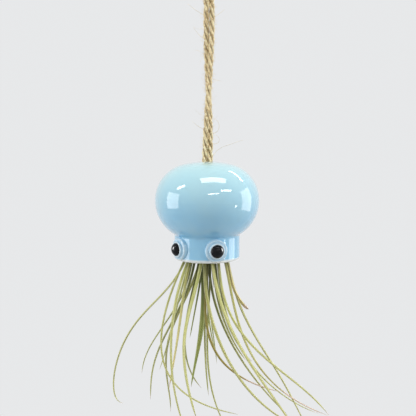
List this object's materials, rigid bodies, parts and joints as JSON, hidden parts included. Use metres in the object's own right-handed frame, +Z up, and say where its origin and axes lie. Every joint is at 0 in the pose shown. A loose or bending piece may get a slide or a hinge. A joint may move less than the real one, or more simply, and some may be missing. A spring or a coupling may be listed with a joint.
{
  "type": "hanging air plant holder",
  "caption": "Glazed ceramic bell with two bead eyes, hung on doubled twine, holding an air plant upside down so its leaves trail like tentacles.",
  "frame": {"origin": "where the twine loop bears on its hook, at the top of the loop's inside", "axes": "+Z up along the twine, -Y the bell's front between its eyes, +X to the right of someone looking at the front"},
  "size_m": [0.1513, 0.1199, 0.3595],
  "materials": {
    "glaze": "glossy sky blue glaze",
    "bead": "glossy black",
    "jute": "hairy natural jute",
    "leaf": "satin grey green leaf"
  },
  "bodies": {
    "hook_loop": {"twine_loop": "jute"},
    "cord": {"twine_legs": "jute"},
    "knot": {"stopper_knot": "jute"},
    "bell": {"glazed_bell": "glaze", "left_eye_bead": "bead", "right_eye_bead": "bead"},
    "air_plant": {"plant_base": "leaf", "outer_leaves": "leaf", "middle_leaves": "leaf", "inner_leaves": "leaf"}
  },
  "joints": [
    {"name": "cord_swing", "type": "hinge", "parent": "hook_loop", "child": "cord", "pos_m": [0, 0, -0.034], "axis": [1, 0, 0], "range_deg": [-30, 30], "deforming": ["twine_legs"]},
    {"name": "cord_twist", "type": "hinge", "parent": "cord", "child": "knot", "pos_m": [0, 0, -0.163], "axis": [0, 0, 1], "range_deg": [-180, 180], "stiffness_Nm_per_rad": 0.003},
    {"name": "bell_lift", "type": "slide", "parent": "knot", "child": "bell", "axis": [0, 0, 1], "range_m": [0, 0.01]},
    {"name": "plant_removal", "type": "slide", "parent": "bell", "child": "air_plant", "axis": [0, 0, -1], "range_m": [0, 0.06]}
  ]
}
